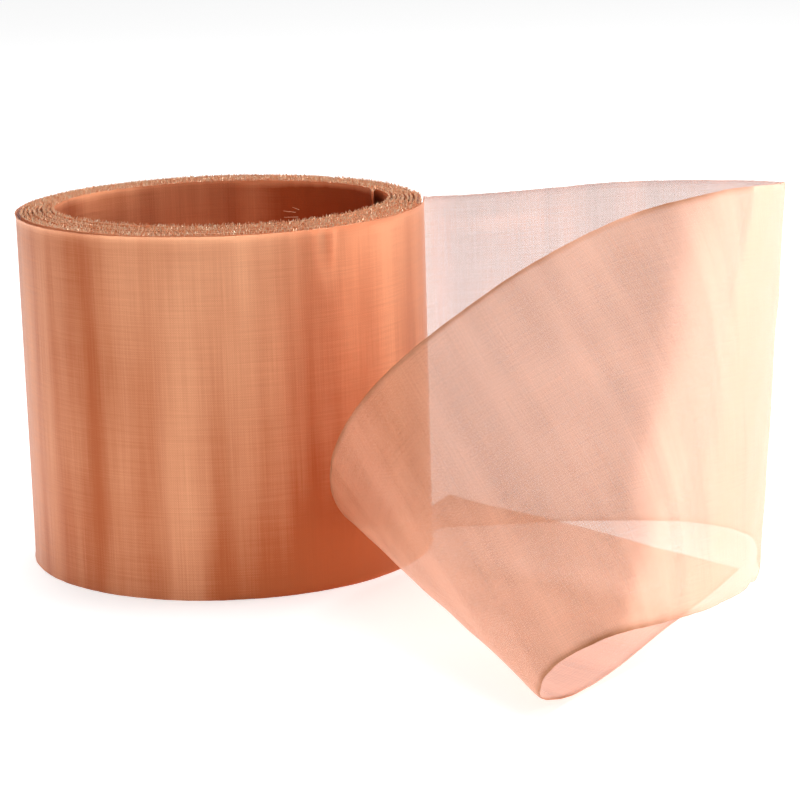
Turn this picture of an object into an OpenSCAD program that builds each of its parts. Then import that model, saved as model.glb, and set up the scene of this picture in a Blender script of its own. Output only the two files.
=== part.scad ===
// Roll of woven copper mesh ribbon, standing on its edge.
// The outer end is drawn off the roll and folded back on itself.
// +Z is up. The origin is on the roll's axis, at the surface that the roll stands on.
// All lengths are in millimetres and all angles in degrees.

/* [Ribbon] */
// Width of the ribbon, which is the height of the roll
ribbon_w = 100; // [98:1:102]
// Thickness of a loose ply with its crimp
ply_t = 0.8; // [0.6:0.1:1.0]

/* [Roll] */
// Radius of the open eye
eye_r = 46.5; // [46.1:0.1:46.9]
// Radial room of one wound turn
turn_pitch = 1.3; // [1.2:0.05:1.3]
// Air between neighbouring wound turns
turn_gap = 0.1; // [0.05:0.05:0.15]
// Angle where the innermost end of the ribbon lies, seen from above
inner_end_angle = 15; // [5:1:25]

/* [Loose lap] */
// Room between the wound turns and the lap that slides on them
lap_clearance = 0.4; // [0.35:0.05:0.5]
// Angle where the loose lap starts, at the back of the roll
lap_start_angle = 60; // [50:5:80]
// Angle where the ribbon leaves the roll
leave_angle = 3.5; // [3:0.5:4]
// Radius of the crease where the ribbon leaves the roll
crease_r = 6.5; // [6:0.1:7]

/* [Hidden] */
turn_count = 8;
// Angle of the arc by which each turn steps outward, to lie on the start of the next
step_turn = 20;
// The innermost end is a tongue of this angle
tongue_angle = 22;
coil_r = eye_r + turn_count * turn_pitch;
lap_in_r = coil_r + lap_clearance;
lap_out_r = lap_in_r + ply_t;
lap_mid_r = lap_in_r + ply_t / 2;
// Slit at each end of that arc, as an angle, which keeps it a solid of its own
step_slit = 0.2;
// Half the slit left at each hinge line of the ribbon
hinge_gap = 0.5;
round_fn = 180;

// The drawn-off ribbon as a developable strip. Each row is one soft bend: its place along the ribbon's
// middle line, the angle that it turns (a minus sign turns to the right, seen along the ribbon), and its spread.
BENDS = [
    [53, -51, 20],
    [69, 70, 44],
    [91, -89, 12],
    [143, -58, 56],
    [229, -54, 13],
    [308, -149, 29]
];
// Slope of the straight lines that cross the strip: place along the middle line, run for each unit of width
SLOPES = [
    [0, 0],
    [54, 0.15],
    [87, 0.12],
    [101, 0.04],
    [147, -0.42],
    [186, -0.59],
    [206, -0.79],
    [346, 0.61],
    [404, 0.03]
];
tail_length = 394;
// Direction of the ribbon where the crease ends
tail_heading = 3;
// Each fold along the middle line: where it starts, its fold line, and where it ends
right_fold = [75, 116, 136];
lower_fold = [278, 308, 338];
// Distance between the sections that the strip is worked out at
step_len = 2;
step_count = tail_length / step_len;

copper = [0.80, 0.50, 0.34];
copper_light = [0.90, 0.66, 0.50];
copper_dark = [0.62, 0.33, 0.20];

// Centre of the crease's curve, and the place where the crease ends and the strip starts
crease_centre = (lap_mid_r + crease_r) * [cos(leave_angle), sin(leave_angle)];
tail_start = [
    crease_centre[0] - crease_r * sin(tail_heading),
    crease_centre[1] + crease_r * cos(tail_heading),
    ribbon_w / 2
];

// Share of the way from one slope to the next, easing out of the first and into the second
function eased(x) = x * x * (3 - 2 * x);

// Slope of the crossing line at length s, eased between the two nearest rows
function slope_between(s, i) =
    let (a = SLOPES[i], b = SLOPES[i + 1], x = (s - a[0]) / (b[0] - a[0]))
    a[1] + (b[1] - a[1]) * eased(min(max(x, 0), 1));
function slope_row(s, i = 0) = i >= len(SLOPES) - 2 || s < SLOPES[i + 1][0] ? i : slope_row(s, i + 1);
function slope(s) = slope_between(s, slope_row(s));

// Turn in degrees for each millimetre of middle line: the sum of the bends, each a bell curve
function bell(x) = exp(-x * x / 2) / sqrt(2 * PI);
function bend_part(s, b) = b[1] * bell((s - b[0]) / b[2]) / b[2];
function bending(s, i = 0) = i == len(BENDS) ? 0 : bend_part(s, BENDS[i]) + bending(s, i + 1);

// v turned about the unit vector u by angle a
function turned(v, u, a) = v * cos(a) + cross(u, v) * sin(a) + u * (u * v) * (1 - cos(a));

// A frame is the middle point, the direction along the ribbon and the direction across it.
// The next one is turned about the crossing line by the bending over one step.
function next_frame(f, s) =
    let (
        e = slope(s),
        axis = f[2] + e * f[1],
        a = bending(s) * step_len * norm(axis),
        u = axis / norm(axis),
        half_way = turned(f[1], u, a / 2)
    )
    [f[0] + half_way * step_len, turned(f[1], u, a), turned(f[2], u, a)];

first_frame = [tail_start, [cos(tail_heading), sin(tail_heading), 0], [0, 0, 1]];
FRAMES = [
    for (i = 0, f = first_frame; i <= step_count; f = next_frame(f, (i + 0.5) * step_len), i = i + 1) f
];

// The frame at any length: the one before it, moved straight along by what is left over
function frame_at(s) =
    let (i = min(floor(s / step_len), step_count), f = FRAMES[i])
    [f[0] + f[1] * (s - i * step_len), f[1], f[2]];

// Four corners of the strip's section along the crossing line at length s
function section(s) =
    let (
        f = frame_at(s),
        across = f[2] + slope(s) * f[1],
        normal = cross(f[2], f[1]),
        low = f[0] - across * ribbon_w / 2,
        high = f[0] + across * ribbon_w / 2
    )
    [low - normal * ply_t / 2, low + normal * ply_t / 2, high + normal * ply_t / 2, high - normal * ply_t / 2];

// Lengths at which a stretch has its sections: both ends and every whole step between them
function stations(s0, s1) = concat(
    [s0],
    [for (i = [floor(s0 / step_len) + 1 : ceil(s1 / step_len) - 1]) i * step_len],
    [s1]
);

// A stretch of the strip as one closed solid
module stretch(s0, s1) {
    places = stations(s0, s1);
    last = 4 * (len(places) - 1);
    points = [for (s = places) each section(s)];
    sides = [
        for (i = [0 : len(places) - 2])
        for (j = [0 : 3])
        let (a = 4 * i + j, b = 4 * i + (j + 1) % 4)
        each [[a, a + 4, b], [b, a + 4, b + 4]]
    ];
    ends = [[0, 1, 2], [0, 2, 3], [last, last + 2, last + 1], [last, last + 3, last + 2]];
    polyhedron(points = points, faces = concat(sides, ends), convexity = 4);
}

// A part of a round wall between two angles, as tall as the ribbon
module wall_arc(r_in, r_out, from, span) {
    rotate([0, 0, from])
        rotate_extrude(angle = span, $fn = round_fn)
            translate([r_in, 0])
                square([r_out - r_in, ribbon_w]);
}

// The last part of a turn opens out by one pitch. It is a rounder arc that leaves the turn without a kink:
// its centre lies behind the roll's axis, seen from where it starts, by this much.
function step_shift(r) =
    let (growth = (2 * r * turn_pitch + turn_pitch * turn_pitch) / (2 * (1 - cos(step_turn))))
    (sqrt(r * r + 4 * growth) - r) / 2;

// Angle that the opening part takes up, seen from the roll's axis
function step_angle(r) =
    let (shift = step_shift(r), arc_r = r + shift)
    atan2(arc_r * sin(step_turn), arc_r * cos(step_turn) - shift);

module wall_step(r_in, r_out) {
    shift = step_shift(r_in);
    rotate([0, 0, inner_end_angle - step_angle(r_in)])
        translate([-shift, 0, 0])
            wall_arc(r_in + shift, r_out + shift, step_slit, step_turn - 2 * step_slit);
}

// One wound turn: round for most of its way, then the arc that steps out onto the next turn. The two are
// solids of their own, a hair apart, because they would only touch along an edge.
module turn(index) {
    r_in = eye_r + index * turn_pitch;
    r_out = r_in + turn_pitch - turn_gap;
    is_first = index == 0;
    is_last = index == turn_count - 1;
    start = inner_end_angle + (is_first ? tongue_angle : 0);
    color(index % 2 == 0 ? copper : copper_dark) {
        wall_arc(r_in, r_out, start, 360 + inner_end_angle - step_angle(r_in) - start);
        if (!is_last)
            wall_step(r_in, r_out);
    }
}

// The innermost end of the ribbon, the tongue that shows inside the eye
module inner_end() {
    color(copper_dark)
        wall_arc(eye_r, eye_r + turn_pitch - turn_gap, inner_end_angle, tongue_angle);
}

// The outermost lap, loose on the coil, from the back of the roll round its front to the crease
module outer_lap() {
    color(copper)
        wall_arc(lap_in_r, lap_out_r, lap_start_angle, 360 - lap_start_angle + leave_angle);
}

// The crease, where the ribbon leaves the roll and turns sharply to the right
module crease() {
    color(copper)
        translate(crease_centre)
            wall_arc(crease_r - ply_t / 2, crease_r + ply_t / 2, 90 + tail_heading, 90 - tail_heading + leave_angle);
}

// The single ply that stands behind, from the crease to the upright fold
module back_panel() {
    color(copper_light)
        stretch(2 * hinge_gap, right_fold[0]);
}

// The upright fold on the right, up to its fold line
module right_fold_back() {
    color(copper)
        stretch(right_fold[0], right_fold[1] - hinge_gap);
}

// The upright fold on the right, from its fold line on
module right_fold_front() {
    color(copper)
        stretch(right_fold[1] + hinge_gap, right_fold[2]);
}

// The slanted ply in front
module front_panel() {
    color(copper_light)
        stretch(right_fold[2], lower_fold[0]);
}

// The round slanted fold at the lower left, up to its fold line
module lower_fold_front() {
    color(copper)
        stretch(lower_fold[0], lower_fold[1] - hinge_gap);
}

// The round slanted fold, from its fold line on
module lower_fold_end() {
    color(copper)
        stretch(lower_fold[1] + hinge_gap, lower_fold[2]);
}

// The last ply, which ends at the cut
module end_panel() {
    color(copper_light)
        stretch(lower_fold[2], tail_length);
}

inner_end();
turn(0);  // turn_1
turn(1);  // turn_2
turn(2);  // turn_3
turn(3);  // turn_4
turn(4);  // turn_5
turn(5);  // turn_6
turn(6);  // turn_7
turn(7);  // turn_8
outer_lap();
crease();
back_panel();
right_fold_back();
right_fold_front();
front_panel();
lower_fold_front();
lower_fold_end();
end_panel();
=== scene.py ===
# Roll of woven copper mesh ribbon, standing on its edge, with its outer end drawn off and folded back.
# The ribbon is worked out in millimetres. Its meshes and all else are in metres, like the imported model.
import math

import bpy
import numpy as np
from mathutils import Matrix


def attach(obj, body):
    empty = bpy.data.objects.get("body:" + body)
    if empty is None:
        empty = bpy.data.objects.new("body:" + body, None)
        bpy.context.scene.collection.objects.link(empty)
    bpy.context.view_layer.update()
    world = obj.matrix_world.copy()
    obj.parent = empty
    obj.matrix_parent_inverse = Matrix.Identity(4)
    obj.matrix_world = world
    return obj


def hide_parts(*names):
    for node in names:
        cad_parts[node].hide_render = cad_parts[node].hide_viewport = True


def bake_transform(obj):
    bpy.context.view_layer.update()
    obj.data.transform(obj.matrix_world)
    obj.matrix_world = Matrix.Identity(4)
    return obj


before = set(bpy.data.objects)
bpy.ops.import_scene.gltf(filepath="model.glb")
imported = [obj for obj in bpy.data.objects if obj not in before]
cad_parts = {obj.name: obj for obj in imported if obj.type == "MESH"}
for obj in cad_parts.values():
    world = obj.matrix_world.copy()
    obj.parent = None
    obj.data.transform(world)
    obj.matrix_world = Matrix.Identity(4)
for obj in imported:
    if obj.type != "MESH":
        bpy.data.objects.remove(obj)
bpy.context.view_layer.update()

# ---------------------------------------------------------------- studio
# A white room with a pale floor. A large soft light stands low on the right and a smaller one hangs above.
# Weaker ones stand further back on the right, and in front on the left. The camera stands a little above the
# roll's rim and looks along +Y, turned down and tipped a little.
camera_place = (0.0494, -0.7613, 0.2140)
looks_down = 12.78
tipped = -1.647
camera_data = bpy.data.cameras.new("camera")
camera_data.lens = 121.5
camera_data.sensor_width = 36
camera = bpy.data.objects.new("camera", camera_data)
camera.matrix_world = (
    Matrix.Translation(camera_place)
    @ Matrix.Rotation(math.radians(90 - looks_down), 4, "X")
    @ Matrix.Rotation(math.radians(tipped), 4, "Z")
)
bpy.context.scene.collection.objects.link(camera)
bpy.context.scene.camera = camera
bpy.context.scene.view_settings.view_transform = "Standard"
bpy.context.scene.cycles.transparent_max_bounces = 32


def soft_light(name, place, aim, size, power):
    """A square white area light at place, turned so that it shines towards aim."""
    data = bpy.data.lights.new(name, "AREA")
    data.size = size
    data.energy = power
    lamp = bpy.data.objects.new(name, data)
    back = np.array(place, float) - np.array(aim, float)
    back /= np.linalg.norm(back)
    side = np.cross((0, 0, 1), back)
    side /= np.linalg.norm(side)
    up = np.cross(back, side)
    lamp.matrix_world = Matrix([(*row, 0) for row in np.array([side, up, back]).T] + [(0, 0, 0, 1)])
    lamp.location = place
    bpy.context.scene.collection.objects.link(lamp)


middle = (0.05, -0.04, 0.05)
soft_light("key", (1.15, 0.20, 0.40), middle, 1.0, 11)
soft_light("behind", (0.75, 0.95, 0.35), middle, 0.7, 3)
soft_light("fill", (-0.9, -0.8, 0.5), middle, 0.6, 0.5)
soft_light("top", (0.05, 0.25, 1.1), middle, 0.6, 8)

# The room looks plain white, and lights the roll with less than half of that.
room_seen = 1.0
room_light = 0.45
world = bpy.data.worlds.new("white_room")
world.use_nodes = True
bpy.context.scene.world = world
room = world.node_tree
seen = room.nodes.new("ShaderNodeLightPath")
strength = room.nodes.new("ShaderNodeMapRange")
strength.inputs["To Min"].default_value = room_light
strength.inputs["To Max"].default_value = room_seen
room.links.new(seen.outputs["Is Camera Ray"], strength.inputs["Value"])
room.nodes["Background"].inputs["Color"].default_value = (1, 1, 1, 1)
room.links.new(strength.outputs["Result"], room.nodes["Background"].inputs["Strength"])

floor_half = 3.0
floor_white = 0.92
floor_glow = 0.50
floor_mesh = bpy.data.meshes.new("floor")
floor_mesh.from_pydata(
    [(-floor_half, -floor_half, 0), (floor_half, -floor_half, 0),
     (floor_half, floor_half, 0), (-floor_half, floor_half, 0)],
    [],
    [(0, 1, 2, 3)],
)
floor = bpy.data.objects.new("floor", floor_mesh)
bpy.context.scene.collection.objects.link(floor)
floor_paint = bpy.data.materials.new("floor_paint")
floor_paint.use_nodes = True
paint = floor_paint.node_tree.nodes["Principled BSDF"]
paint.inputs["Base Color"].default_value = (floor_white, floor_white, floor_white, 1)
paint.inputs["Roughness"].default_value = 0.9
paint.inputs["Emission Color"].default_value = (1, 1, 1, 1)
paint.inputs["Emission Strength"].default_value = floor_glow
floor_mesh.materials.append(floor_paint)

# ---------------------------------------------------------------- wound coil
# Eight turns of plain-woven copper wire mesh, cut to width and wound tight on a former that was pulled out.
# Each turn is one length of the spiral. The cut edges wander, stand at uneven heights and bunch together.
MM = 0.001  # a millimetre in metres
ribbon_w = 100.0
eye_r = 46.5
first_r = eye_r + 0.35  # radius of the middle of the wall where the spiral starts
inner_end_at = 15.0  # angle of that start, seen from above
turns = 8
turn_rise = 1.27  # growth of the radius over one turn
wall_t = 0.42


def woven_copper(name, light, deep, closeness, metal=0.8, dull=0.40, gloss=0.0):
    """Plain-woven copper wire. The weave is the product of a wave along the ribbon and one across it. Slubs
    are noise drawn out along each set of wires, and bands are noise drawn out across the ribbon. The
    piece's tone_and_painted_light attribute, from -1 to 1, its own tone together with painted highlights and
    painted shade, makes it deeper or lighter. closeness is how much one face hides of what is behind, dull
    is how much its shine is spread, and gloss is how much white shine lies over the copper's own. The
    piece's dense, from 0 to 1, closes the weave up."""
    thread = 0.5 * MM
    material = bpy.data.materials.new(name)
    material.use_nodes = True
    tree = material.node_tree
    shader = tree.nodes["Principled BSDF"]

    def put(kind, inputs, result=0, **settings):
        """Adds a node and gives back an output. Each input is linked if it is an output, or else set."""
        made = tree.nodes.new("ShaderNode" + kind)
        for key, value in settings.items():
            setattr(made, key, value)
        for key, value in inputs.items():
            if isinstance(value, bpy.types.NodeSocket):
                tree.links.new(value, made.inputs[key])
            else:
                made.inputs[key].default_value = value
        return made.outputs[result]

    def sum_of(a, b):
        return put("Math", {0: a, 1: b}, operation="ADD")

    def times(a, b):
        return put("Math", {0: a, 1: b}, operation="MULTIPLY")

    def drawn_out(spots_along, spots_across):
        """Noise with that many spots to the metre along the ribbon and across it, from -0.5 to 0.5."""
        place = put("Mapping", {"Vector": flat, "Scale": (spots_along, spots_across, 1)})
        grain = put("TexNoise", {"Vector": place, "Scale": 1.0, "Detail": 2.0}, noise_dimensions="2D")
        return sum_of(grain, -0.5)

    flat = put("UVMap", {}, uv_map="flat_ribbon")
    parts = tree.nodes.new("ShaderNodeSeparateXYZ")
    tree.links.new(flat, parts.inputs[0])
    wave_along = put("Math", {0: times(parts.outputs["X"], 2 * math.pi / thread)}, operation="SINE")
    wave_across = put("Math", {0: times(parts.outputs["Y"], 2 * math.pi / thread)}, operation="SINE")
    weave = times(wave_along, wave_across)
    slub_along = drawn_out(50, 2600)
    slub_across = drawn_out(2600, 40)
    bands = drawn_out(95, 6)
    clouds = drawn_out(28, 22)
    # The piece's own tone with painted highlights and painted shade, worked out in the coil and ribbon code.
    tone_and_painted_light = put("Attribute", {}, "Fac", attribute_name="tone_and_painted_light")
    tone = 0.5
    for pattern, share in ((bands, 0.8), (clouds, 0.35), (slub_along, 0.20), (slub_across, 0.20),
                           (weave, 0.10), (tone_and_painted_light, 0.5)):
        tone = sum_of(tone, times(pattern, share))
    tone = put("Clamp", {"Value": tone})
    colour = put("Mix", {"Factor": tone, 6: (*deep, 1), 7: (*light, 1)}, 2, data_type="RGBA")
    tree.links.new(colour, shader.inputs["Base Color"])
    rough = sum_of(times(slub_along, 0.2), dull)
    tree.links.new(rough, shader.inputs["Roughness"])
    height = sum_of(times(weave, 0.5), sum_of(slub_along, slub_across))
    bump = put("Bump", {"Height": height, "Strength": 0.5, "Distance": 0.06 * MM})
    tree.links.new(bump, shader.inputs["Normal"])
    shader.inputs["Metallic"].default_value = metal
    shader.inputs["Coat Weight"].default_value = gloss
    shader.inputs["Coat IOR"].default_value = 2.0
    shader.inputs["Coat Roughness"].default_value = 0.4
    if closeness < 1:
        dense = put("Attribute", {}, "Fac", attribute_name="dense")
        cover = sum_of(times(weave, 0.08), times(sum_of(slub_along, slub_across), 0.07))
        cover = sum_of(sum_of(cover, closeness), times(dense, 0.4))
        tree.links.new(cover, shader.inputs["Alpha"])
    return material


def mesh_piece(name, points, faces, flat_uv, tone_and_painted_light, material, dense=None):
    """Makes an object from points in millimetres, faces, and for each point its place on the flat ribbon,
    its tone with painted highlights and shade, and how dense it is. Edges turned by more than the sharp angle
    stay crisp."""
    sharp_angle = math.radians(50)
    mesh = bpy.data.meshes.new(name)
    mesh.from_pydata((points * MM).tolist(), [], faces)
    corner = np.empty(len(mesh.loops), np.int32)
    mesh.loops.foreach_get("vertex_index", corner)
    layer = mesh.uv_layers.new(name="flat_ribbon")
    layer.data.foreach_set("uv", (flat_uv[corner] * MM).ravel())
    shade = mesh.attributes.new("tone_and_painted_light", "FLOAT", "POINT")
    shade.data.foreach_set("value", tone_and_painted_light.astype(np.float32))
    if dense is not None:
        closed = mesh.attributes.new("dense", "FLOAT", "POINT")
        closed.data.foreach_set("value", dense.astype(np.float32))
    mesh.polygons.foreach_set("use_smooth", np.ones(len(mesh.polygons), bool))
    mesh.set_sharp_from_angle(angle=sharp_angle)
    mesh.materials.append(material)
    made = bpy.data.objects.new(name, mesh)
    bpy.context.scene.collection.objects.link(made)
    return made


def thin_solid(middle_surface, normal, thickness, flat_uv):
    """Closed solid about a surface on a grid: one skin half a thickness out along the normal, one as far
    in, and a band of faces that joins them round the grid's edge."""
    rows, columns = middle_surface.shape[:2]
    outer = middle_surface + normal * thickness / 2
    inner = middle_surface - normal * thickness / 2
    points = np.concatenate([outer.reshape(-1, 3), inner.reshape(-1, 3)])
    index = np.arange(rows * columns).reshape(rows, columns)
    a, b, c, d = index[:-1, :-1], index[1:, :-1], index[1:, 1:], index[:-1, 1:]
    skin = np.stack([a, b, c, d], -1).reshape(-1, 4)
    back = skin[:, ::-1] + rows * columns
    ring = np.concatenate([index[0, :-1], index[:-1, -1], index[-1, :0:-1], index[:0:-1, 0]])
    following = np.roll(ring, -1)
    band = np.stack([ring, following, following + rows * columns, ring + rows * columns], -1)
    faces = np.concatenate([skin, back, band])
    uv = np.concatenate([flat_uv.reshape(-1, 2)] * 2)
    return points, faces, uv


def wire_stubs(foot, direction, length, wire_r, flat_uv, first_point=0):
    """Cut wires: a three-sided prism for each foot, narrowed to its tip, closed at both ends. Gives the
    points, the faces, which count points from first_point on, and the points' places on the flat ribbon."""
    tip_share = 0.6
    direction = direction / np.linalg.norm(direction, axis=1, keepdims=True)
    helper = np.where(np.abs(direction[:, :1]) < 0.7, [[1.0, 0, 0]], [[0, 1.0, 0]])
    side = np.cross(direction, helper)
    side /= np.linalg.norm(side, axis=1, keepdims=True)
    other = np.cross(direction, side)
    turn = np.radians([0, 120, 240])
    ring = side[:, None] * np.cos(turn)[None, :, None] + other[:, None] * np.sin(turn)[None, :, None]
    low = foot[:, None] + ring * wire_r
    high = (foot + direction * length[:, None])[:, None] + ring * wire_r * tip_share
    points = np.concatenate([low, high], axis=1).reshape(-1, 3)
    first = first_point + 6 * np.arange(len(foot))[:, None, None]
    sides = (first + np.array([[0, 1, 4, 3], [1, 2, 5, 4], [2, 0, 3, 5]])).reshape(-1, 4)
    ends = (first + np.array([[0, 2, 1], [3, 4, 5]])).reshape(-1, 3)
    return points, sides.tolist() + ends.tolist(), np.repeat(flat_uv, 6, axis=0)


def ripple(x, seed, waves, longest, shortest):
    """Smooth wander from -1 to 1: a sum of sines with seeded phases, from longest to shortest wave."""
    draw = np.random.default_rng(seed)
    lengths = np.geomspace(longest, shortest, waves)
    phases = draw.uniform(0, 2 * math.pi, waves)
    shares = draw.uniform(0.6, 1.0, waves)
    x = np.asarray(x, float)
    parts = [s * np.sin(2 * math.pi * x / w + p) for s, w, p in zip(shares, lengths, phases)]
    return sum(parts) / shares.sum()


def bell(x):
    """One at nought, falling away on both sides."""
    return np.exp(-x * x / 2)


def front_share(angle):
    """One at the front of the roll, which faces -Y, and nought at its back."""
    return 0.5 - 0.5 * np.sin(np.radians(angle))


def coil_wall(turn_angle, height):
    """Middle surface of the wound spiral: the radius grows by one rise each turn and wanders a little. The
    innermost end curls in towards the eye, more so at its top. Height runs from 0 at the floor to 1."""
    angle = inner_end_at + turn_angle
    turn = turn_angle / 360
    wander = 0.42 * ripple(turn_angle, 3, 9, 510, 37) + 0.16 * ripple(turn_angle, 5, 5, 31, 9) * height
    wander = wander * (1 - 0.7 * turn / turns)
    end_curl = 2.4 * np.exp(-turn_angle / 5.0) * height ** 3
    r = first_r + turn_rise * turn + wander - end_curl
    rise = 1.3 * (1 - turn / turns) * front_share(angle) + 0.35 * ripple(turn_angle, 11, 6, 800, 60)
    ragged = 0.14 * ripple(turn_angle, 12, 6, 9, 2.3)
    z = height * (ribbon_w + rise + ragged)
    a = np.radians(angle)
    return np.stack([r * np.cos(a), r * np.sin(a), z], -1), np.stack([np.cos(a), np.sin(a), 0 * a], -1)


def coil_tone_and_painted_light(turn_angle, height):
    """How much paler or deeper the coil's copper is drawn: a painted highlight along the rim and a deeper
    wall below it. Inside the eye the wall has painted light at the back and painted shade on the right of
    that, and its free end is pale at the top."""
    angle = inner_end_at + turn_angle
    # Painted light on the back wall of the eye, where light from the right falls, and painted shade on the
    # wall to its right.
    eye_light_and_shade = 0.7 * bell((angle - 105) / 22) - 1.5 * bell((angle - 42) / 26)
    free_end = 1.5 * bell(turn_angle / 4) * height ** 6
    # A painted highlight along the rim, where the light from above falls on the cut edge.
    return 1.6 * bell((1 - height) / 0.006) + (eye_light_and_shade - 0.4) * (height < 0.99) + free_end


coil_copper = woven_copper("coil_copper", (0.98, 0.46, 0.24), (0.46, 0.115, 0.036), 1.0)
height_rows = np.concatenate([[0, 0.01], np.linspace(0.03, 0.90, 14), [0.93, 0.955, 0.975, 0.99, 1.0]])
for number in range(turns):
    angles = np.arange(360 * number, 360 * (number + 1) + 1, 1.0)
    grid_angle, grid_height = np.meshgrid(angles, height_rows, indexing="ij")
    wall, outward = coil_wall(grid_angle, grid_height)
    length_along = np.radians(grid_angle) * (first_r + turn_rise * grid_angle / 720)
    flat = np.stack([length_along - length_along[0], grid_height * ribbon_w], -1)
    points, faces, uv = thin_solid(wall, outward, wall_t, flat)
    # Painted highlights and shade on the coil.
    tone_and_painted_light = np.tile(coil_tone_and_painted_light(grid_angle, grid_height).ravel(), 2)
    turn_piece = mesh_piece(f"coil_turn_{number + 1}", points, faces.tolist(), uv, tone_and_painted_light, coil_copper)
    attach(turn_piece, "coil")
    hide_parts(f"turn_{number + 1}")
    if number == 0:
        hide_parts("inner_end")

# ---------------------------------------------------------------- coil's cut wires
# Cut ends of the mesh's cross wires. They stand up like a brush all along the coil's rim, each leaning its
# own way, where the ribbon was cut to width.
stub_step = 0.24  # degrees
stub_r = 0.10
stub_sunk = 0.15
draw = np.random.default_rng(21)
stub_angle = np.arange(0, 360 * turns, stub_step)
stub_angle = stub_angle + draw.uniform(-0.15, 0.15, len(stub_angle))
stub_angle = stub_angle.clip(0, 360 * turns)
rim, outward = coil_wall(stub_angle, np.ones(len(stub_angle)))
lean = draw.normal(0, 0.45, (len(rim), 3))
lean[:, 2] = 1
lengths = draw.uniform(0.3, 1.15, len(rim))
rim += outward * draw.uniform(-0.5, 0.5, (len(rim), 1)) * wall_t
rim[:, 2] -= stub_sunk
points, faces, uv = wire_stubs(rim, lean, lengths, stub_r, np.zeros((len(rim), 2)))
tone_and_painted_light = np.repeat(draw.uniform(-0.6, 1.4, len(rim)), 6)
# The cut wires' pale copper is partly a painted highlight where light from above falls on the rim; each
# wire's tone also differs at random.
cut_copper = woven_copper("cut_copper", (1.0, 0.78, 0.56), (0.97, 0.42, 0.20), 1.0, metal=0.5, dull=0.4)
stubs = mesh_piece("coil_cut_wires", points, faces, uv, tone_and_painted_light, cut_copper)
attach(stubs, "coil")

# ---------------------------------------------------------------- coil's stray wires
# Three cross wires of the same copper that have come loose from the innermost turn. They lie close to the
# wall at the back of the eye, a little below the rim, and are still woven in at their other end.
stray_r = 0.09
stray_angle = np.radians([64.5, 63.5, 63.0])
stray_height = [90.6, 89.2, 91.4]
stray_lean = np.array([[-0.95, 0.16, 0.10], [-0.96, 0.18, -0.02], [-0.9, 0.12, 0.35]])
stray_length = np.array([3.8, 4.4, 2.2])
in_eye_r = eye_r - 0.6
stray_foot = np.stack([in_eye_r * np.cos(stray_angle), in_eye_r * np.sin(stray_angle), stray_height], -1)
points, faces, uv = wire_stubs(stray_foot, stray_lean, stray_length, stray_r, np.zeros((3, 2)))
strays = mesh_piece("coil_stray_wires", points, faces, uv, np.full(len(points), 0.2), cut_copper)
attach(strays, "coil")

# ---------------------------------------------------------------- loose lap
# The outermost lap of copper mesh, loose on the coil. It is one length with the drawn-off end, which turns
# back in a tight crease, stands up behind, folds over on the right and rolls under at the left.
half_w = ribbon_w / 2
sheet_t = 0.24
lap_mid_r = 57.7  # radius of the middle of the lap
lap_start_angle = 60.0
leave_angle = 3.5  # where the ribbon leaves the roll
crease_r = 6.5
tail_heading = 3.0  # direction of the ribbon where the crease ends
tail_length = 394
# Each soft bend of the drawn-off end: its place along the middle line, its turn in degrees and its spread.
BENDS = np.array([
    [53, -51, 20],
    [69, 70, 44],
    [91, -89, 12],
    [143, -58, 56],
    [229, -54, 13],
    [308, -149, 29],
], float)
# Slope of the straight lines that cross the ribbon: place along it, and run for each unit of width.
SLOPES = np.array([
    [0, 0],
    [54, 0.15],
    [87, 0.12],
    [101, 0.04],
    [147, -0.42],
    [186, -0.59],
    [206, -0.79],
    [346, 0.61],
    [404, 0.03],
])
crease_centre = (lap_mid_r + crease_r) * np.array([math.cos(math.radians(leave_angle)),
                                                   math.sin(math.radians(leave_angle))])
lap_arc = math.radians(360 + leave_angle - lap_start_angle) * lap_mid_r
crease_arc = math.radians(90 - tail_heading + leave_angle) * crease_r


def slope(s):
    """Run of the crossing line for each unit of width: eased from one row of SLOPES to the next."""
    row = np.clip(np.searchsorted(SLOPES[:, 0], s, side="right") - 1, 0, len(SLOPES) - 2)
    x = np.clip((s - SLOPES[row, 0]) / (SLOPES[row + 1, 0] - SLOPES[row, 0]), 0, 1)
    return SLOPES[row, 1] + (SLOPES[row + 1, 1] - SLOPES[row, 1]) * x * x * (3 - 2 * x)


def turned(v, u, angle):
    """v turned about the unit vector u."""
    return v * math.cos(angle) + np.cross(u, v) * math.sin(angle) + u * (u @ v) * (1 - math.cos(angle))


def tail_frames(step):
    """Middle point, direction along and direction across at each step of the drawn-off end. The strip is
    developable: each step turns them about the crossing line by the sum of the bends, which are bells."""
    heading = math.radians(tail_heading)
    point = np.array([crease_centre[0] - crease_r * math.sin(heading),
                      crease_centre[1] + crease_r * math.cos(heading), ribbon_w / 2])
    along = np.array([math.cos(heading), math.sin(heading), 0])
    across = np.array([0, 0, 1.0])
    frames = [(point, along, across)]
    middles = np.arange(0, tail_length, step) + step / 2
    bending = (BENDS[:, 1] * bell((middles[:, None] - BENDS[:, 0]) / BENDS[:, 2])
               / (BENDS[:, 2] * math.sqrt(2 * math.pi))).sum(1)
    for e, bend in zip(slope(middles), np.radians(bending)):
        axis = across + e * along
        size = np.linalg.norm(axis)
        angle = bend * step * size
        point = point + turned(along, axis / size, angle / 2) * step
        along, across = turned(along, axis / size, angle), turned(across, axis / size, angle)
        frames.append((point, along, across))
    return np.array(frames)


frame_step = 0.5
FRAMES = tail_frames(frame_step)


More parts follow.
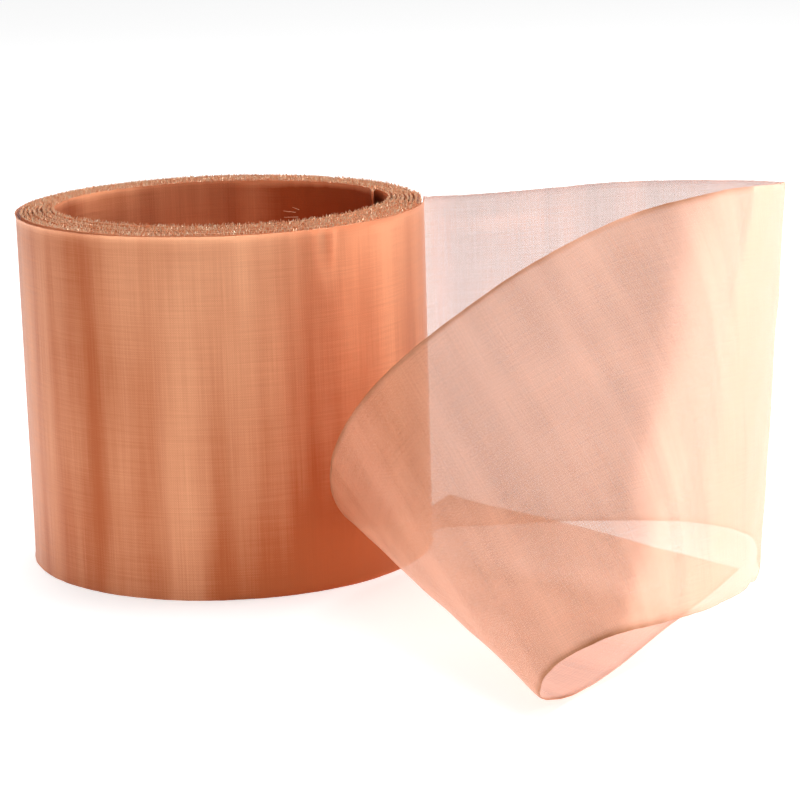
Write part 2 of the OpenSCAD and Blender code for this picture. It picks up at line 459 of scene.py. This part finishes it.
def ribbon_line(s):
    """Middle point, along, across and slope at places s. From nought on it is the drawn-off end. Before
    that come the crease, a right-hand quarter round, and before that the lap, round the coil's axis."""
    s = np.asarray(s, float)
    on_tail = np.clip(s, 0, tail_length) / frame_step
    low = np.minimum(on_tail.astype(int), len(FRAMES) - 2)
    share = (on_tail - low)[:, None, None]
    tail = FRAMES[low] * (1 - share) + FRAMES[low + 1] * share
    up = np.tile([0, 0, 1.0], (len(s), 1))
    round_crease = np.radians(90 + tail_heading) - s / crease_r
    crease = np.stack([
        np.stack([crease_centre[0] + crease_r * np.cos(round_crease),
                  crease_centre[1] + crease_r * np.sin(round_crease), 0 * s + ribbon_w / 2], -1),
        np.stack([np.sin(round_crease), -np.cos(round_crease), 0 * s], -1),
        up,
    ], 1)
    round_coil = math.radians(leave_angle) + (s + crease_arc) / lap_mid_r
    lap = np.stack([
        np.stack([lap_mid_r * np.cos(round_coil), lap_mid_r * np.sin(round_coil), 0 * s + ribbon_w / 2], -1),
        np.stack([-np.sin(round_coil), np.cos(round_coil), 0 * s], -1),
        up,
    ], 1)
    on_crease = ((s < 0) & (s >= -crease_arc))[:, None, None]
    on_lap = (s < -crease_arc)[:, None, None]
    line = np.where(on_lap, lap, np.where(on_crease, crease, tail))
    return line[:, 0], line[:, 1], line[:, 2], np.where(s > 0, slope(np.maximum(s, 0)), 0)


def angle_to_place(angle):
    """Place along the ribbon that lies at an angle on the lap."""
    return np.radians(angle - leave_angle) * lap_mid_r - crease_arc


# Two arches pinched into the lap: angle on the lap, half the width, and how far down from the upper edge.
NARROW_ARCH = (-57, 3.2, 13)
BROAD_ARCH = (-121, 8, 30)


def arch(s, v, angle, wide, tall):
    """A pinched arch below the lap's upper edge: a round ridge about a hollow, from -0.6 to 1."""
    out = np.hypot((s - angle_to_place(angle)) / wide, (half_w - v) / tall)
    return bell((out - 1) / 0.28) - 0.6 * bell(out / 0.6)


def dents(s, v):
    """How far the ribbon stands off its ideal surface: flutes across it on the lap and slow swells on the
    loose end, with two arches pinched into the lap below its upper edge."""
    lap = np.clip(-(s + crease_arc) / 12, 0, 1)
    loose = np.clip(s / 25, 0, 1)
    flutes = 0.10 * ripple(s + 0.05 * v, 31, 8, 60, 7) + 0.03 * ripple(s - 0.1 * v, 33, 6, 9, 2.5)
    flutes = flutes + 0.35 * arch(s, v, *NARROW_ARCH) + 0.22 * arch(s, v, *BROAD_ARCH)
    swells = 0.35 * ripple(s + 0.6 * v, 35, 5, 90, 22) + 0.25 * ripple(v - 0.35 * s, 37, 4, 70, 17)
    return lap * flutes + loose * swells


def bells(x, rows):
    """Sum of bells, one for each row of its middle, its spread and its height."""
    return sum(height * bell((x - middle) / spread) for middle, spread, height in rows)


def stretch(s, first, last, lead_in, run_out):
    """One between two places, with half a bell before the first and half a bell after the last."""
    return bell(np.clip(first - s, 0, None) / lead_in) * bell(np.clip(s - last, 0, None) / run_out)


def edge_curl(s):
    """Angle by which the last of the width curls over, at both edges: a slow wander about a mean, and a
    bell at each end of the right fold."""
    return np.radians(16 + 12 * ripple(s, 41, 7, 90, 5) + bells(s, [(120, 3, 70), (147, 4, 60)]))


def edge_sway(s, v):
    """How far each cut edge of the loose end strays out from its straight line: a few bells along each
    edge, and one stretch on each where it stands out evenly."""
    upper = bells(s, [(4, 14, -1.0), (228, 9, -1.1), (270, 15, -1.4)]) + 1.1 * stretch(s, 50, 130, 14, 30)
    lower = bells(s, [(128, 18, 3.6), (168, 24, 2.6), (368, 10, -0.9)]) + 1.3 * stretch(s, 195, 305, 12, 12)
    return np.where(v > 0, upper, lower) * np.clip((s + crease_arc) / 5, 0, 1)


curl_w = 1.6  # width along each edge that curls over


def ribbon_surface(s, v):
    """Middle surface at places s along the ribbon and v across it, and each point's place on the flat ribbon.
    Each point lies out along its crossing line, and within the curl's width of an edge the way across bends
    over in a small round."""
    middle_point, along, across, run = ribbon_line(s)
    normal = np.cross(across, along)
    line = across + run[:, None] * along
    grid_s, grid_v = np.meshgrid(s, v, indexing="ij")
    past = np.clip(np.abs(grid_v) - (half_w - curl_w), 0, None)
    bend = edge_curl(grid_s) / curl_w
    out = np.where(past > 0, np.sin(bend * past) / bend, 0)
    over = np.where(past > 0, (1 - np.cos(bend * past)) / bend, 0)
    reach = np.clip(np.abs(grid_v), 0, half_w - curl_w) + out
    wander = (0.15 * ripple(grid_s, 43, 8, 120, 3) + edge_sway(grid_s, grid_v)) * np.abs(grid_v) / half_w
    reach = np.sign(grid_v) * (reach + wander)
    off = dents(grid_s, grid_v) - over
    surface = middle_point[:, None] + reach[..., None] * line[:, None] + off[..., None] * normal[:, None]
    flat = np.stack([grid_s + grid_v * run[:, None], grid_v], -1)
    return surface, flat


def surface_normal(surface):
    """Unit normal of a grid from its two directions, across by along."""
    along = np.gradient(surface, axis=0)
    across = np.gradient(surface, axis=1)
    normal = np.cross(across, along)
    return normal / np.linalg.norm(normal, axis=-1, keepdims=True)


edge_rows = np.array([49.0, 49.4, 49.7, 50.0])
across_rows = np.concatenate([-edge_rows[::-1], np.arange(-48, 49, 2.0), edge_rows])


def edge_line(s, v):
    """The line that a cut edge makes, where the outermost wires lie close: clear on the ply in front, faint
    on the rest of the loose end."""
    clear = 0.2 + 0.8 * np.clip((s - 185) / 20, 0, 1) * np.clip((350 - s) / 10, 0, 1)
    return clear * bell((half_w - np.abs(v)) / 0.8)


def round_right_fold(s):
    """One where the loose end rounds the right fold, and nought further off."""
    return stretch(s, 120, 184, 12, 8)


# Painted sheen: soft upright bands on the lap, paler for reflected light and deeper between: angle, spread,
# and how much paler. Those of the second list fade downwards.
TALL_SHEEN_BANDS = [
    (-142, 22, -0.35), (-122, 12, -0.35), (-101, 6, 0.40),
    (-91, 4, -0.25), (-68, 32, 0.35), (-8, 12, 0.5),
]
HIGH_SHEEN_BANDS = [(-79, 5, 0.45), (-67, 1.3, 0.35), (-55, 6, 0.35), (-36, 2, 0.35), (-30, 12, 0.5)]


def tone_and_painted_light_at(s, v):
    """How much paler or deeper the ribbon is drawn. On the lap: painted sheen bands, painted shade low on the
    right, a painted highlight on the narrow arch's ridge with painted shade in its hollow, and a painted
    highlight along the upper edge. On the loose
    end: painted shade on the ply behind with a painted highlight streak below its upper edge, deeper cut
    edges, and a painted highlight round the right fold."""
    angle = leave_angle + np.degrees((s + crease_arc) / lap_mid_r)
    up = 0.5 + v / ribbon_w
    # Painted shade low on the right of the lap, where the loose end keeps the light off.
    low_right_shade = bell((angle + 60) / 27) * (1 - up) ** 1.5
    # Painted sheen bands, painted shade low on the right, a painted highlight on the arch's ridge with
    # painted shade in its hollow, and a painted highlight along the upper edge.
    lap = (bells(angle, TALL_SHEEN_BANDS) + bells(angle, HIGH_SHEEN_BANDS) * up - 2.2 * low_right_shade
           + 0.5 * arch(s, v, *NARROW_ARCH) + 0.6 * bell((half_w - v) / 1.2))
    # Painted shade on the crease and the ply behind, and a painted highlight streak below its upper edge.
    behind = bell(np.clip(s - 70, 0, None) / 15)
    highlight_streak = bell((v - 41) / 1.6) * bell((s - 14) / 8)
    # A painted highlight round the right fold; the cut edges are deeper where their wires lie close.
    loose = 0.5 + 0.8 * round_right_fold(s) - 1.1 * behind + 0.7 * highlight_streak - 1.1 * edge_line(s, v)
    return np.where(s < -crease_arc, lap, loose)


def dense_at(s, v):
    """How far the weave is closed up: along both cut edges, and where the ribbon rounds the right fold."""
    return np.clip(edge_line(s, v) + 0.26 * round_right_fold(s), 0, 1)


edge_wire_r = 0.06
edge_wire_sunk = 0.1
seam_taper = 4  # length over which a piece thins out to a seam
thinnest_share = 0.1


def ribbon_length(name, s_from, s_to, step, material, stub_gap, seed):
    """A length of ribbon as a thin closed solid, with its cut wires along both edges. It thins out towards
    its two seams, so that they hardly show. Wires near the surface it stands on are cut short above it."""
    s = np.linspace(s_from, s_to, int(round((s_to - s_from) / step)) + 1)
    margin = np.array([s[0] - step, *s, s[-1] + step])
    surface, flat = ribbon_surface(margin, across_rows)
    normal = surface_normal(surface)[1:-1]
    surface, flat = surface[1:-1], flat[1:-1]
    to_seam = np.minimum(s - s[0], s[-1] - s)
    thickness = sheet_t * np.clip(to_seam / seam_taper, thinnest_share, 1)[:, None, None]
    points, faces, uv = thin_solid(surface, normal, thickness, flat)
    draw = np.random.default_rng(seed)
    every = max(1, int(round(stub_gap / step)))
    feet, leans, places = [], [], []
    for side, inner in ((0, 1), (-1, -2)):
        edge, next_in = surface[::every, side], surface[::every, inner]
        away = edge - next_in
        away /= np.linalg.norm(away, axis=1, keepdims=True)
        feet.append(edge - away * edge_wire_sunk)
        leans.append(away + draw.normal(0, 0.25, away.shape))
        places.append(flat[::every, side])
    feet = np.concatenate(feet)
    leans = np.concatenate(leans)
    fall = np.maximum(-leans[:, 2] / np.linalg.norm(leans, axis=1), 1e-6)
    room_below = np.maximum(feet[:, 2] - edge_wire_r, edge_wire_r / 2) / fall
    lengths = np.minimum(draw.uniform(0.2, 0.55, len(feet)), room_below)
    places = np.concatenate(places)
    wires, wire_faces, wire_uv = wire_stubs(feet, leans, lengths, edge_wire_r, places, len(points))
    grid = np.meshgrid(s, across_rows, indexing="ij")
    tone_and_painted_light = np.concatenate([np.tile(tone_and_painted_light_at(*grid).ravel(), 2), np.full(len(wires), 0.3)])
    dense = np.concatenate([np.tile(dense_at(*grid).ravel(), 2), np.full(len(wires), 0.5)])
    return mesh_piece(name, np.concatenate([points, wires]), faces.tolist() + wire_faces,
                      np.concatenate([uv, wire_uv]), tone_and_painted_light, material, dense)


lap_copper = woven_copper("lap_copper", (1.0, 0.50, 0.28), (0.50, 0.125, 0.04), 0.75)
lap_start = -(lap_arc + crease_arc)
lap = ribbon_length("loose_lap", lap_start, -crease_arc, 1.0, lap_copper, stub_gap=1.0, seed=51)
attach(lap, "lap")
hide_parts("outer_lap")

# ---------------------------------------------------------------- back ply
# The crease and the single ply of mesh past it, thin enough to see through. It is bent by hand and stands on
# its cut edge behind the roll.
first_seam = 58.0
loose_copper = woven_copper("loose_copper", (1.0, 0.52, 0.32), (0.45, 0.14, 0.03), 0.42, metal=0.4, dull=0.50,
                            gloss=0.3)
back = ribbon_length("back_ply", -crease_arc, first_seam, 0.5, loose_copper, stub_gap=1.0, seed=52)
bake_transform(back)
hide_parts("crease", "back_panel")

# ---------------------------------------------------------------- right fold
# The same ply of mesh, folded over upright on the right. The fold is pressed by hand, and its weave is closed
# up there. The first part of its lower edge stands on the floor, and the rest rises from it.
second_seam = 200.0


def fold_span(place, reach):
    """Two points on either side of the ribbon's middle at a place, square to the crossing line there."""
    middle_point, along, across, run = (x[0] for x in ribbon_line([place]))
    line = across + run * along
    line /= np.linalg.norm(line)
    square = along - line * (along @ line)
    square /= np.linalg.norm(square)
    return tuple((middle_point - square * reach) * MM), tuple((middle_point + square * reach) * MM)


front = ribbon_length("right_fold", first_seam, second_seam, 1.0, loose_copper, stub_gap=2.0, seed=53)
fold_start, fold_end = fold_span(116, reach=15)
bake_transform(front)
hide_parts("right_fold_back", "right_fold_front")

# ---------------------------------------------------------------- lower fold
# The slanted ply in front and the last ply below it, of the same mesh. The ribbon is rolled under itself at
# the lower left without a sharp crease, and ends at a plain cut.
end = ribbon_length("lower_fold", second_seam, tail_length, 1.0, loose_copper, stub_gap=2.0, seed=54)
fold_start, fold_end = fold_span(308, reach=12)
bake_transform(end)
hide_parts("front_panel", "lower_fold_front", "lower_fold_end", "end_panel")
